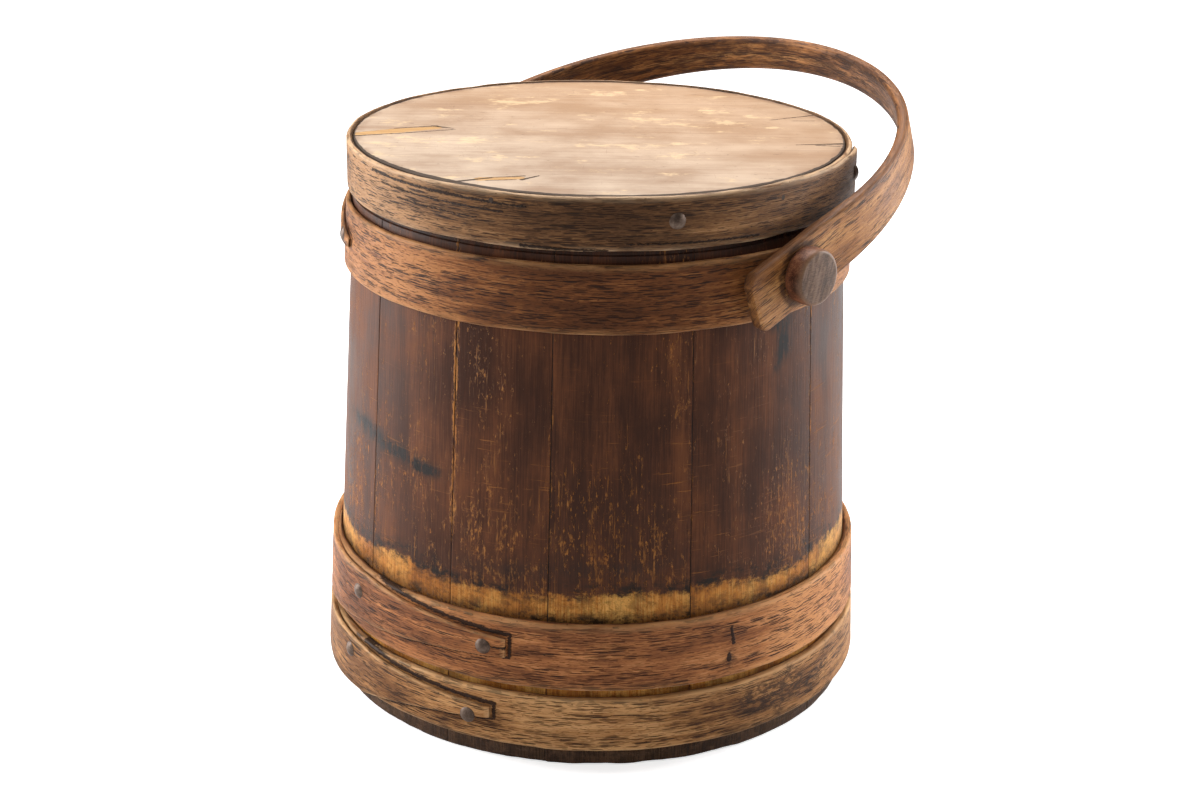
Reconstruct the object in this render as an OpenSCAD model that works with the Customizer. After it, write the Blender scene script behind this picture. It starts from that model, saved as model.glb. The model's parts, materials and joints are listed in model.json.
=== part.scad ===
// Lidded wooden pail: thirteen tapered staves held by three lapped wooden hoops, a bent wooden
// bail on two turned pegs, and a lift-off lid with its own lapped band.
// Millimetres, +Z up. The origin is the centre of the foot, on the floor, on the pail's axis.
// The two handle pegs lie on the X axis direction; the bail leans back towards +Y.

/* [Body] */
// Diameter across the stave feet
foot_dia = 286.6; // [262:0.2:300]
// Height of the staves, foot to rim under the lid
stave_h = 280.4; // [270:0.2:300]
// How much the outside radius shrinks per millimetre of height
taper = 0.0521; // [0.03:0.0001:0.07]
// Thickness of a stave
stave_t = 10.5; // [8:0.1:14]
// Air left in each joint between two staves, in degrees
seam = 0.05; // [0.02:0.01:0.2]
// Height at which the staves are shaved straight for the lid
shave_z = 266.6; // [265:0.1:268]

/* [Bottom board] */
// Underside of the croze groove the bottom board sits in
croze_z = 13.5; // [10:0.1:20]
// Height of the croze groove
croze_h = 7; // [5:0.1:9]
// Depth of the croze groove
croze_d = 3.4; // [2:0.1:5]
// Thickness of the bottom board
bottom_t = 11; // [8:0.1:14]

/* [Hoops] */
// Thickness of the two lower hoops
low_hoop_t = 5.2; // [3:0.1:6]
// Thickness of the top hoop
top_hoop_t = 3.4; // [2.8:0.1:4.5]
// Extra thickness where a lower hoop laps over itself
low_lap_t = 3; // [1.5:0.1:4]
// Extra thickness where the top hoop laps over itself
top_lap_t = 2.4; // [1.5:0.1:2.6]
// Lower edge of the bottom hoop
hoop_c_z = 10.8; // [9:0.1:12]
// Width of the bottom hoop
hoop_c_w = 29.2; // [24:0.1:32]
// Lower edge of the middle hoop
hoop_b_z = 44; // [43.5:0.1:50]
// Width of the middle hoop
hoop_b_w = 35.9; // [30:0.1:40]
// Lower edge of the top hoop
hoop_a_z = 228.7; // [224:0.1:230]
// Width of the top hoop
hoop_a_w = 34.9; // [32:0.1:36]
// Air between a hoop and the staves it grips
hoop_gap = 0.25; // [0.1:0.01:0.3]

/* [Hoop tongues] */
// Angle of the top hoop's tip round the pail
tip_a = -115; // [-118:1:-112]
// Height of the middle of the top hoop's tip
tip_a_z = 246; // [244:0.5:248]
// Width of the top hoop at its tip
tip_a_w = 5; // [4:0.5:8]
// Angle where the upper edge of the top hoop's tongue reaches the full width
upper_a = -150; // [-155:1:-145]
// Angle where the lower edge of the top hoop's tongue reaches the full width
lower_a = -166; // [-170:1:-150]
// Angle of the middle hoop's tip round the pail
tip_b = -61; // [-63:1:-59]
// Height of the middle of the middle hoop's tip
tip_b_z = 65; // [63:0.5:67]
// Width of the middle hoop at its tip
tip_b_w = 10.5; // [8:0.5:14]
// Angle where the upper edge of the middle hoop's tongue reaches the full width
upper_b = -98; // [-104:1:-90]
// Angle where the lower edge of the middle hoop's tongue reaches the full width
lower_b = -121; // [-125:1:-104]
// Angle of the bottom hoop's tip round the pail
tip_c = -64; // [-66:1:-62]
// Height of the middle of the bottom hoop's tip
tip_c_z = 28; // [26:0.5:30]
// Width of the bottom hoop at its tip
tip_c_w = 6.5; // [5:0.5:10]
// Angle where the upper edge of the bottom hoop's tongue reaches the full width
upper_c = -108; // [-112:1:-100]
// Angle where the lower edge of the bottom hoop's tongue reaches the full width
lower_c = -98; // [-106:1:-92]
// How much the lower edge of a tongue bows: 1 is a straight edge
tongue_bow = 1.4; // [1:0.1:1.8]

/* [Tacks and brads] */
// Diameter of a tack head
tack_dia = 8.4; // [6:0.1:9]
// Height of a tack head's dome
tack_dome = 1.8; // [1:0.1:2.4]
// Diameter of a tack shank
tack_shank = 1.9; // [1.4:0.1:2.4]
// Length of a tack shank
tack_len = 10; // [8:0.1:12]
// Diameter of a lid brad
brad_dia = 2.4; // [1.8:0.1:3]

/* [Handle] */
// Height of the handle pegs above the floor
peg_z = 252.2; // [248:0.1:253]
// Half the spread of the bail, peg axis to the middle of its thickness
bail_r = 140.5; // [140:0.1:144]
// Thickness of the bail
bail_t = 6.5; // [5:0.1:7]
// Straight length of each leg above the peg
bail_leg = 38.2; // [34:0.1:60]
// Length of each leg below the peg
bail_tail = 33.8; // [26:0.1:36]
// Width of the bail at its ends
bail_w = 32.5; // [28:0.1:36]
// Width of the bail at the crown
crown_w = 19.5; // [16:0.1:26]
// How far the bail's middle line sits off the pegs
bail_off = 0.5; // [0:0.1:3]
// Lean of the bail away from upright
bail_lean = 70; // [0:1:80]

/* [Pegs] */
// Diameter of a peg's shank
peg_dia = 13; // [11:0.1:15]
// Running clearance of the bail on a peg, on the radius
peg_fit = 0.08; // [0.02:0.01:0.1]
// Diameter of a peg's turned head
peg_head_dia = 29.4; // [24:0.1:31]
// Thickness of a peg's turned head
peg_head_t = 10.8; // [9:0.1:14]
// Diameter of the pin through a peg's inner end
pin_dia = 4; // [3:0.1:5]
// Length of the pin through a peg's inner end
pin_len = 25; // [20:0.5:30]

/* [Lid] */
// Inside diameter of the lid band
lid_bore = 258; // [257.8:0.1:259]
// Thickness of the lid band
lid_band_t = 3.2; // [2.6:0.1:4]
// Lower edge of the lid band
lid_z = 269.2; // [267:0.1:271]
// Width of the lid band
lid_w = 27.2; // [24:0.1:30]
// Extra thickness where the lid band laps over itself
lid_lap_t = 3; // [1.5:0.1:3.2]
// Thickness of the lid board
lid_board_t = 14.9; // [12:0.1:15.2]

/* [Hidden] */
$fn = 96;
foot_r = foot_dia / 2;
shave_r = foot_r - taper * (stave_h + 4.6);
lid_in_r = lid_bore / 2;
lid_out_r = lid_in_r + lid_band_t;
lid_board_z = stave_h + 0.3;
bail_out_r = bail_r + bail_t / 2;
bail_in_r = bail_r - bail_t / 2;
crown_h = bail_leg + bail_out_r;
head_x = bail_out_r + 0.35;
pin_x = foot_r - taper * peg_z - stave_t - pin_dia / 2 - 0.9;
peg_in_x = pin_x - 7;
first_seam = -100;
// Width of each stave in degrees; together they make a full turn
stave_spans = [25, 22, 30, 34, 26, 29, 24, 27, 23, 24, 33, 31, 32];
low_tack_t = low_hoop_t + low_lap_t;
top_tack_t = top_hoop_t + top_lap_t;
// Each tack: [angle round the axis, height, radius its head sits on]
hoop_a_tacks = [[-119.5, 248, foot_r - taper * 248 + top_tack_t]];
hoop_b_tacks = [
    [-65.5, 64.5, foot_r - taper * 64.5 + low_tack_t],
    [first_seam, 67.5, foot_r - taper * 67.5 + low_tack_t]
];
hoop_c_tacks = [
    [-68.5, 25, foot_r - taper * 25 + low_tack_t],
    [-103, 30.5, foot_r - taper * 30.5 + low_tack_t]
];
lid_tacks = [[-27.5, 284, lid_out_r], [33.5, 284, lid_out_r + lid_lap_t]];
lid_brad_spots = [[-1.5, 288.5], [-66.5, 291.5], [-120, 289], [-170, 290], [125, 289], [76, 290]];
edge_steps = 6;

// Outside radius of the staves at a height
function body_r(z) = foot_r - taper * z;

// Angle of the seam before stave i, counting from 0
function seam_at(i) = i == 0 ? first_seam : seam_at(i - 1) + stave_spans[i - 1];

// Outline of a lap tongue as [angle, height] on the hoop from z to z + w: blunt at its tip, straight
// along its upper edge, bowed along its lower edge, and full width from there to the back
function tongue(tip, tip_z, tip_w, upper, lower, z, w, back) =
    let(lo = tip_z - tip_w / 2, hi = tip_z + tip_w / 2)
    concat(
        [[tip + 4, lo], [tip + 4, hi], [tip, hi], [upper, z + w], [back, z + w], [back, z]],
        [for (i = [edge_steps:-1:0])
            let(part = i / edge_steps)
            [tip + (lower - tip) * part, lo + (z - lo) * pow(part, tongue_bow)]]
    );

// A point of a tongue outline laid on the plane that faces outwards at angle mid
function laid(p, mid, r) = [r * sin(p[0] - mid), p[1]];

// A cylinder lying on the X direction, turned round the axis to an angle
module spoke(angle, z, from, to, d) {
    rotate([0, 0, angle])
        translate([from, 0, z])
            rotate([0, 90, 0])
                cylinder(h = to - from, d = d);
}

// Holes for the tack shanks, cut through hoops and into staves
module tack_bores(tacks) {
    for (t = tacks) {
        spoke(t[0], t[1], t[2] - tack_len - 1, t[2] + 6, tack_shank + 0.1);
        spoke(t[0], t[1], t[2] - 0.35, t[2] + 6, tack_dia + 0.2);
    }
}

// One domed tack with its shank, pointing at the axis
module tack(t) {
    dome_r = (pow(tack_dia / 2, 2) + pow(tack_dome, 2)) / (2 * tack_dome);
    rotate([0, 0, t[0]])
        translate([t[2] - 0.3, 0, t[1]])
            rotate([0, 90, 0])
                union() {
                    translate([0, 0, -tack_len])
                        cylinder(h = tack_len + 0.5, d = tack_shank);
                    intersection() {
                        cylinder(h = tack_dome + 1, d = tack_dia);
                        translate([0, 0, tack_dome - dome_r])
                            sphere(r = dome_r);
                    }
                }
}

module tacks(list) {
    for (t = list)
        tack(t);
}

// Holes for both pegs along X
module peg_bores(clear) {
    for (side = [-1, 1])
        translate([side * 100, 0, peg_z])
            rotate([0, side * 90, 0])
                cylinder(h = 60, r = peg_dia / 2 + clear);
}

// One stave between two seam angles, with the croze groove and the shaved lid seat
module stave(i) {
    from = seam_at(i) + seam / 2;
    span = stave_spans[i] - seam;
    color([0.42, 0.24, 0.19])
        difference() {
            rotate_extrude(start = from, angle = span)
                polygon([
                    [body_r(0) - 1.4, 0],
                    [body_r(1.8), 1.8],
                    [body_r(shave_z), shave_z],
                    [shave_r, shave_z + 0.5],
                    [shave_r, stave_h - 1],
                    [shave_r - 1, stave_h],
                    [body_r(stave_h) - stave_t, stave_h],
                    [body_r(croze_z + croze_h) - stave_t, croze_z + croze_h],
                    [body_r(croze_z + croze_h) - stave_t + croze_d, croze_z + croze_h],
                    [body_r(croze_z + croze_h) - stave_t + croze_d, croze_z],
                    [body_r(croze_z) - stave_t, croze_z],
                    [body_r(2) - stave_t, 2],
                    [body_r(0) - stave_t + 2, 0]
                ]);
            peg_bores(0.05);
            tack_bores(concat(hoop_a_tacks, hoop_b_tacks, hoop_c_tacks));
        }
}

module bottom_board() {
    edge = body_r(croze_z + croze_h) - stave_t;
    mid = croze_z + croze_h / 2;
    color([0.6, 0.48, 0.36])
        rotate_extrude()
            polygon([
                [0, mid - bottom_t / 2],
                [edge - 5, mid - bottom_t / 2],
                [edge - 0.3, croze_z + 0.2],
                [edge + croze_d - 0.3, croze_z + 0.2],
                [edge + croze_d - 0.3, croze_z + croze_h - 0.2],
                [edge - 0.3, croze_z + croze_h - 0.2],
                [edge - 5, mid + bottom_t / 2],
                [0, mid + bottom_t / 2]
            ]);
}

// Section of a band that hugs the staves: from radius offset a to b over the heights z0 to z1
module band_section(z0, z1, a, b, shift) {
    polygon([
        [body_r(z0) + a - shift, z0],
        [body_r(z0) + b - shift - 0.8, z0],
        [body_r(z0 + 0.8) + b - shift, z0 + 0.8],
        [body_r(z1 - 0.8) + b - shift, z1 - 0.8],
        [body_r(z1) + b - shift - 0.8, z1],
        [body_r(z1) + a - shift, z1]
    ]);
}

// A lapped hoop: a closed ring, the outer end's tongue lying on it, and the rise up to the tongue.
// The tongue runs from its tip back to rise_at; the band has come down to the ring ramp further on.
// tongue_at holds the tip's height and width and the angles where its edges reach the full width.
module lapped_hoop(z, w, t, lap, tip, rise_at, ramp, tongue_at) {
    mid = (tip + rise_at) / 2;
    outline = tongue(tip, tongue_at[0], tongue_at[1], tongue_at[2], tongue_at[3], z, w, rise_at - ramp - 7);
    lift = lap / (1 - cos(ramp));
    rotate_extrude()
        band_section(z, z + w, hoop_gap, t, 0);
    intersection() {
        union() {
            rotate_extrude(start = rise_at, angle = tip - rise_at)
                band_section(z - 2, z + w + 2, t - 1, t + lap, 0);
            translate([lift * cos(rise_at), lift * sin(rise_at), 0])
                rotate_extrude(start = rise_at - ramp - 3, angle = ramp + 4)
                    band_section(z - 2, z + w + 2, max(t - 1.3, lap + 0.6), t + lap - 0.15, lift);
        }
        rotate([0, 0, mid])
            translate([60, 0, 0])
                rotate([90, 0, 90])
                    linear_extrude(height = 120)
                        intersection() {
                            polygon([for (p = outline) laid(p, mid, body_r(z) + t)]);
                            translate([-150, z + 0.1])
                                square([300, w - 0.2]);
                        }
    }
}

module hoop_top() {
    color([0.62, 0.42, 0.28])
        difference() {
            lapped_hoop(hoop_a_z, hoop_a_w, top_hoop_t, top_lap_t, tip_a, upper_a, 34,
                [tip_a_z, tip_a_w, upper_a, lower_a]);
            peg_bores(0.05);
            tack_bores(hoop_a_tacks);
        }
}

module hoop_middle() {
    color([0.55, 0.38, 0.27])
        difference() {
            lapped_hoop(hoop_b_z, hoop_b_w, low_hoop_t, low_lap_t, tip_b, -104, 26,
                [tip_b_z, tip_b_w, upper_b, lower_b]);
            tack_bores(hoop_b_tacks);
        }
}

module hoop_bottom() {
    color([0.56, 0.4, 0.26])
        difference() {
            lapped_hoop(hoop_c_z, hoop_c_w, low_hoop_t, low_lap_t, tip_c, -106, 24,
                [tip_c_z, tip_c_w, upper_c, lower_c]);
            tack_bores(hoop_c_tacks);
        }
}

module hoop_top_tacks() {
    color([0.45, 0.42, 0.38])
        tacks(hoop_a_tacks);
}

module hoop_middle_tacks() {
    color([0.45, 0.42, 0.38])
        tacks(hoop_b_tacks);
}

module hoop_bottom_tacks() {
    color([0.45, 0.42, 0.38])
        tacks(hoop_c_tacks);
}

// Plan of the bail seen from the side: wide legs with rounded ends, narrowing to the crown
module bail_plan() {
    r = 6;
    half = bail_w / 2;
    translate([-half, r - bail_tail])
        square([bail_w, bail_tail - r + bail_leg - 20]);
    translate([r - half, -bail_tail])
        square([bail_w - 2 * r, 2 * r]);
    for (side = [-1, 1])
        translate([side * (half - r), r - bail_tail])
            circle(r = r);
    polygon([
        [-half, bail_leg - 21],
        [half, bail_leg - 21],
        [half, bail_leg - 20],
        [crown_w / 2, crown_h + 1],
        [-crown_w / 2, crown_h + 1],
        [-half, bail_leg - 20]
    ]);
}

// Solid inside one face of the bail: straight below, round above
module bail_fill(r) {
    translate([0, 30, bail_leg])
        rotate([90, 0, 0])
            cylinder(h = 60, r = r);
    translate([-r, -30, -60])
        cube([2 * r, 60, 60 + bail_leg]);
}

module handle() {
    color([0.7, 0.5, 0.32])
        translate([0, 0, peg_z])
            rotate([-bail_lean, 0, 0])
                difference() {
                    intersection() {
                        difference() {
                            bail_fill(bail_out_r);
                            bail_fill(bail_in_r);
                        }
                        translate([-200, -bail_off, 0])
                            rotate([90, 0, 90])
                                linear_extrude(height = 400)
                                    bail_plan();
                    }
                    translate([-200, 0, 0])
                        rotate([0, 90, 0])
                            cylinder(h = 400, r = peg_dia / 2 + peg_fit);
                }
}

// A turned peg: shank through bail, hoop and stave, and a thick round-edged head outside
module peg(side) {
    color([0.45, 0.3, 0.24])
        translate([0, 0, peg_z])
            rotate([0, side * 90, 0])
                difference() {
                    union() {
                        translate([0, 0, peg_in_x])
                            cylinder(h = head_x - peg_in_x + 1, d = peg_dia);
                        rotate_extrude()
                            polygon([
                                [0, head_x],
                                [peg_head_dia / 2 - 1.2, head_x],
                                [peg_head_dia / 2, head_x + 1.2],
                                [peg_head_dia / 2, head_x + peg_head_t - 2.4],
                                [peg_head_dia / 2 - 0.8, head_x + peg_head_t - 1.1],
                                [peg_head_dia / 2 - 2.6, head_x + peg_head_t - 0.4],
                                [0, head_x + peg_head_t]
                            ]);
                    }
                    translate([-20, 0, pin_x])
                        rotate([0, 90, 0])
                            cylinder(h = 40, d = pin_dia + 0.1);
                }
}

module peg_pin(side) {
    color([0.6, 0.45, 0.3])
        translate([side * pin_x, 0, peg_z - pin_len / 2])
            cylinder(h = pin_len, d = pin_dia);
}

module lid_board() {
    top = lid_board_z + lid_board_t;
    color([0.66, 0.54, 0.44])
        difference() {
            rotate_extrude()
                polygon([
                    [0, lid_board_z],
                    [lid_in_r - 0.8, lid_board_z],
                    [lid_in_r - 0.3, lid_board_z + 0.5],
                    [lid_in_r - 0.3, top - 1],
                    [lid_in_r - 1.3, top],
                    [0, top]
                ]);
            tack_bores(lid_tacks);
            for (b = lid_brad_spots)
                spoke(b[0], b[1], lid_in_r - 16, lid_in_r + 8, brad_dia + 0.1);
        }
}

// Section of the lid band, moved in by shift
module lid_section(a, b, shift) {
    polygon([
        [a - shift, lid_z],
        [b - shift - 0.6, lid_z],
        [b - shift, lid_z + 0.6],
        [b - shift, lid_z + lid_w - 1.2],
        [b - shift - 0.9, lid_z + lid_w],
        [a - shift + 0.5, lid_z + lid_w],
        [a - shift, lid_z + lid_w - 0.5]
    ]);
}

// The lid band: a ring, and the outer layer rising over it to an end at lap_end
module lid_band() {
    lap_end = 37;
    ramp = 33;
    lift = lid_lap_t / (1 - cos(ramp));
    color([0.55, 0.42, 0.31])
        difference() {
            union() {
                rotate_extrude()
                    lid_section(lid_in_r, lid_out_r, 0);
                translate([lift * cos(lap_end), lift * sin(lap_end), 0])
                    rotate_extrude(start = lap_end - ramp - 3, angle = ramp + 3)
                        lid_section(lid_out_r - 0.1, lid_out_r + lid_lap_t, lift);
            }
            tack_bores(lid_tacks);
            for (b = lid_brad_spots)
                spoke(b[0], b[1], lid_in_r - 16, lid_in_r + 8, brad_dia + 0.1);
        }
}

module lid_band_tacks() {
    color([0.45, 0.42, 0.38])
        tacks(lid_tacks);
}

// Headless brads driven flush through the lid band into the board
module lid_brads() {
    color([0.3, 0.27, 0.25])
        for (b = lid_brad_spots)
            spoke(b[0], b[1], lid_in_r - 14, lid_out_r - 0.1, brad_dia);
}

stave(0);  // stave_01
stave(1);  // stave_02
stave(2);  // stave_03
stave(3);  // stave_04
stave(4);  // stave_05
stave(5);  // stave_06
stave(6);  // stave_07
stave(7);  // stave_08
stave(8);  // stave_09
stave(9);  // stave_10
stave(10);  // stave_11
stave(11);  // stave_12
stave(12);  // stave_13
bottom_board();
hoop_top();
hoop_middle();
hoop_bottom();
hoop_top_tacks();
hoop_middle_tacks();
hoop_bottom_tacks();
handle();
peg(1);  // handle_peg_right
peg(-1);  // handle_peg_left
peg_pin(1);  // peg_pin_right
peg_pin(-1);  // peg_pin_left
lid_board();
lid_band();
lid_band_tacks();
lid_brads();
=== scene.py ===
import json
import math

import bpy
import numpy as np
from mathutils import Matrix, Vector


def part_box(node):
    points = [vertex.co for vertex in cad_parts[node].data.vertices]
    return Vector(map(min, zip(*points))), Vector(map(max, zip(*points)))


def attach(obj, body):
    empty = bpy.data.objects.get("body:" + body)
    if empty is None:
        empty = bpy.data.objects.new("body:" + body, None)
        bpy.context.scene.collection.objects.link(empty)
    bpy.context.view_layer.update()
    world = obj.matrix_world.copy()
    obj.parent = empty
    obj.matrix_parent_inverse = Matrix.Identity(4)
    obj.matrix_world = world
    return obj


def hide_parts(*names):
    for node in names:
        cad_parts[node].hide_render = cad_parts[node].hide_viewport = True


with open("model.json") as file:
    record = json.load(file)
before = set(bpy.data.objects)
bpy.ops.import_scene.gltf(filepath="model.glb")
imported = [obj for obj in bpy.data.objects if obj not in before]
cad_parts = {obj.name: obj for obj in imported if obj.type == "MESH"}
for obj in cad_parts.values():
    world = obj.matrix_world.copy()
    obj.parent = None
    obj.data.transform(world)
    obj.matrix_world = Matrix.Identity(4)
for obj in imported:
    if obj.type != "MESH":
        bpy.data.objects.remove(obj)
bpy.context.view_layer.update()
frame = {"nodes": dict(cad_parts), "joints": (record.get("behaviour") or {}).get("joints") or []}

# Lengths are in metres and angles in degrees unless a name says otherwise. The pail's axis is Z,
# its pegs lie along X, and the camera looks from VIEW_AZ degrees round from -Y towards +X.
MM = 0.001
VIEW_AZ = 46.0


# ---- numbers that follow the CAD parts

def node_points(name):
    """The corners of a CAD node's mesh."""
    mesh = frame["nodes"][name].data
    flat = np.empty(len(mesh.vertices) * 3)
    mesh.vertices.foreach_get("co", flat)
    return flat.reshape(-1, 3)


def widest(name, height, near=0.0004):
    """The largest radius of a node's corners near a height."""
    pts = node_points(name)
    rows = pts[np.abs(pts[:, 2] - height) < near]
    return float(np.hypot(rows[:, 0], rows[:, 1]).max())


def span(name):
    """The lowest and highest point of a CAD node."""
    low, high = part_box(name)
    return low[2], high[2]


# Staves: one of them gives the height, the taper and the shaved seat under the lid
SAMPLE_STAVE = "stave_08"
STAVE_H = span(SAMPLE_STAVE)[1]
CHAMFER_Z = 1.8 * MM
SHAVE_Z = 266.6 * MM
R_LOW = widest(SAMPLE_STAVE, CHAMFER_Z)
TAPER = (R_LOW - widest(SAMPLE_STAVE, SHAVE_Z)) / (SHAVE_Z - CHAMFER_Z)
FOOT_R = R_LOW + TAPER * CHAMFER_Z
SEAT_R = widest(SAMPLE_STAVE, STAVE_H - 1.0 * MM)
STAVE_T = 10.5 * MM
CROZE = (13.5 * MM, 20.5 * MM, 3.4 * MM)  # low edge, high edge and depth of the groove for the bottom
FIRST_SEAM = -100
STAVE_SPANS = (25, 22, 30, 34, 26, 29, 24, 27, 23, 24, 33, 31, 32)
SEAMS = [float(FIRST_SEAM + sum(STAVE_SPANS[:i])) for i in range(len(STAVE_SPANS) + 1)]
SEAM_WEAR = (0.1, 1.0, 0.35, 0.3, 0.6, 0.4, 0.3, 0.5, 0.4, 0.7, 0.4, 0.3, 0.5, 0.1)
SEAM_GAP = 0.03  # degrees left free on each side of a seam

# Lap tongues: tip angle, low and high edge of the tip in mm, angles where the upper and the lower
# edge reach the hoop's full width
TONGUE_A = (-115, 243.5, 248.5, -150, -166)
TONGUE_B = (-61, 59.75, 70.25, -98, -121)
TONGUE_C = (-64, 24.75, 31.25, -108, -98)
TONGUE_BOW = 1.4
# Radius of the circle on which places along a band are measured, and of the one for its worn tip
BAND_R = 140.0 * MM
TIP_R = 146.0 * MM
BAND_WAVE = 0.5 * MM  # how far a band's edges wander

# The bail leans back from upright and turns on the pegs' axis
PEG_Z = frame["joints"][0]["pos_m"][2]
LEAN = 70.0
BAIL_R = 140.5 * MM
BAIL_T = 6.5 * MM
BAIL_LEG = 38.2 * MM
BAIL_TAIL = 33.8 * MM
BAIL_OFF = 0.5 * MM
LEG_WIDTH = 32.5 * MM
CROWN_WIDTH = 19.5 * MM
TAIL_CORNER = 6.0 * MM


def body_r(z):
    """Outside radius of the staves at a height."""
    return FOOT_R - TAPER * z


def tongue(shape, z0, z1):
    """A function that gives the low and high edge of a lap tongue at an angle, on a hoop from z0 to z1."""
    tip, low, high, upper, lower = shape

    def edges(angle):
        up = min(max((tip - angle) / (tip - upper), 0.0), 1.0)
        down = min(max((tip - angle) / (tip - lower), 0.0), 1.0) ** TONGUE_BOW
        return low * MM + (z0 - low * MM) * down, high * MM + (z1 - high * MM) * up
    return edges


# ---- smooth repeatable noise

def lattice(ix, iy, iz, seed):
    """A repeatable number from -1 to 1 for each whole-number place."""
    n = ix * 374761393 + iy * 668265263 + iz * 1440670441 + seed * 144665
    n = (n ^ (n >> 13)) * 1274126177
    n = n ^ (n >> 16)
    return (n & 0xFFFFFF) / float(0xFFFFFF) * 2.0 - 1.0


def value_noise(p, seed=0):
    """Smooth noise from -1 to 1 between the lattice places."""
    base = np.floor(p).astype(np.int64)
    t = p - base
    t = t * t * (3.0 - 2.0 * t)
    total = np.zeros(len(p))
    for dx in (0, 1):
        for dy in (0, 1):
            for dz in (0, 1):
                w = ((t[:, 0] if dx else 1 - t[:, 0])
                     * (t[:, 1] if dy else 1 - t[:, 1])
                     * (t[:, 2] if dz else 1 - t[:, 2]))
                total += w * lattice(base[:, 0] + dx, base[:, 1] + dy, base[:, 2] + dz, seed)
    return total


def fbm(p, seed=0, octaves=3):
    """Layers of noise, each twice as fine and half as strong as the one before."""
    total, size = np.zeros(len(p)), 1.0
    for k in range(octaves):
        total += size * value_noise(p * 2.0 ** k, seed + 17 * k)
        size *= 0.5
    return total


def rows_of(a, b, c):
    """Three equally long lists as rows of three."""
    return np.stack([a, b, c], axis=1)


def smooth(lo, hi, x):
    """0 below lo, 1 above hi, a smooth rise between."""
    t = np.clip((x - lo) / (hi - lo), 0.0, 1.0)
    return t * t * (3.0 - 2.0 * t)


# ---- meshes

def new_object(name, data):
    """A new object in the scene."""
    made = bpy.data.objects.new(name, data)
    bpy.context.collection.objects.link(made)
    return made


def add_piece(name, points, faces, grain, marks, material, body, replaced, sharp=35.0):
    """A mesh piece that stands in for CAD nodes. grain holds each point's place along, across and
    into the wood in metres; marks holds edge wear, dirt with painted shade on some pieces, and one more
    that the material explains."""
    mesh = bpy.data.meshes.new(name)
    mesh.from_pydata([tuple(p) for p in points], [], faces)
    mesh.validate()
    for label, data in (("grain", grain), ("marks", marks)):
        layer = mesh.attributes.new(label, "FLOAT_VECTOR", "POINT")
        layer.data.foreach_set("vector", np.asarray(data, dtype=np.float32).ravel())
    mesh.polygons.foreach_set("use_smooth", [True] * len(mesh.polygons))
    mesh.set_sharp_from_angle(angle=math.radians(sharp))
    mesh.materials.append(material)
    piece = new_object(name, mesh)
    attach(piece, body)
    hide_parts(*replaced)


def loft_faces(stations, around):
    """Quads between rings of points, each ring closed, and a cap on both ends."""
    faces = []
    for i in range(stations - 1):
        a, b = i * around, (i + 1) * around
        for k in range(around):
            n = (k + 1) % around
            faces.append((a + k, a + n, b + n, b + k))
    faces.append(tuple(range(around - 1, -1, -1)))
    faces.append(tuple((stations - 1) * around + k for k in range(around)))
    return faces


def turned_faces(steps, k):
    """Quads round a turned shape of k rows of points, and a cap on both ends."""
    faces = []
    for i in range(steps):
        a, b = i * k, ((i + 1) % steps) * k
        for j in range(k - 1):
            faces.append((a + j, b + j, b + j + 1, a + j + 1))
    faces.append(tuple(i * k for i in range(steps - 1, -1, -1)))
    faces.append(tuple(i * k + k - 1 for i in range(steps)))
    return faces


def rounded_section(thick, width, round_r, corner):
    """A closed rounded rectangle as (out, up): out across the thickness, up across the width."""
    half_t, half_w = thick / 2, width / 2
    r = min(round_r, half_t * 0.98, half_w * 0.98)
    pts = []

    def straight(a, b, steps):
        for k in range(steps):
            pts.append((a[0] + (b[0] - a[0]) * k / steps, a[1] + (b[1] - a[1]) * k / steps))

    def bend(cx, cy, start):
        for k in range(corner):
            ang = math.radians(start + 90.0 * k / corner)
            pts.append((cx + r * math.cos(ang), cy + r * math.sin(ang)))

    straight((half_t, -half_w + r), (half_t, half_w - r), 12)
    bend(half_t - r, half_w - r, 0)
    straight((half_t - r, half_w), (-half_t + r, half_w), 2)
    bend(-half_t + r, half_w - r, 90)
    straight((-half_t, half_w - r), (-half_t, -half_w + r), 12)
    bend(-half_t + r, -half_w + r, 180)
    straight((-half_t + r, -half_w), (half_t - r, -half_w), 2)
    bend(half_t - r, -half_w + r, 270)
    return np.array(pts)


def edge_mark(section, thick, width, reach=0.0022):
    """1 near the long edges of a section, 0 on its faces."""
    gap = width / 2 - np.abs(section[:, 1])
    side = thick / 2 - np.abs(section[:, 0])
    near = np.minimum(np.maximum(gap, 0), np.maximum(gap, side))
    return 1.0 - smooth(0.0, reach, near)


# ---- shader building

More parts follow.
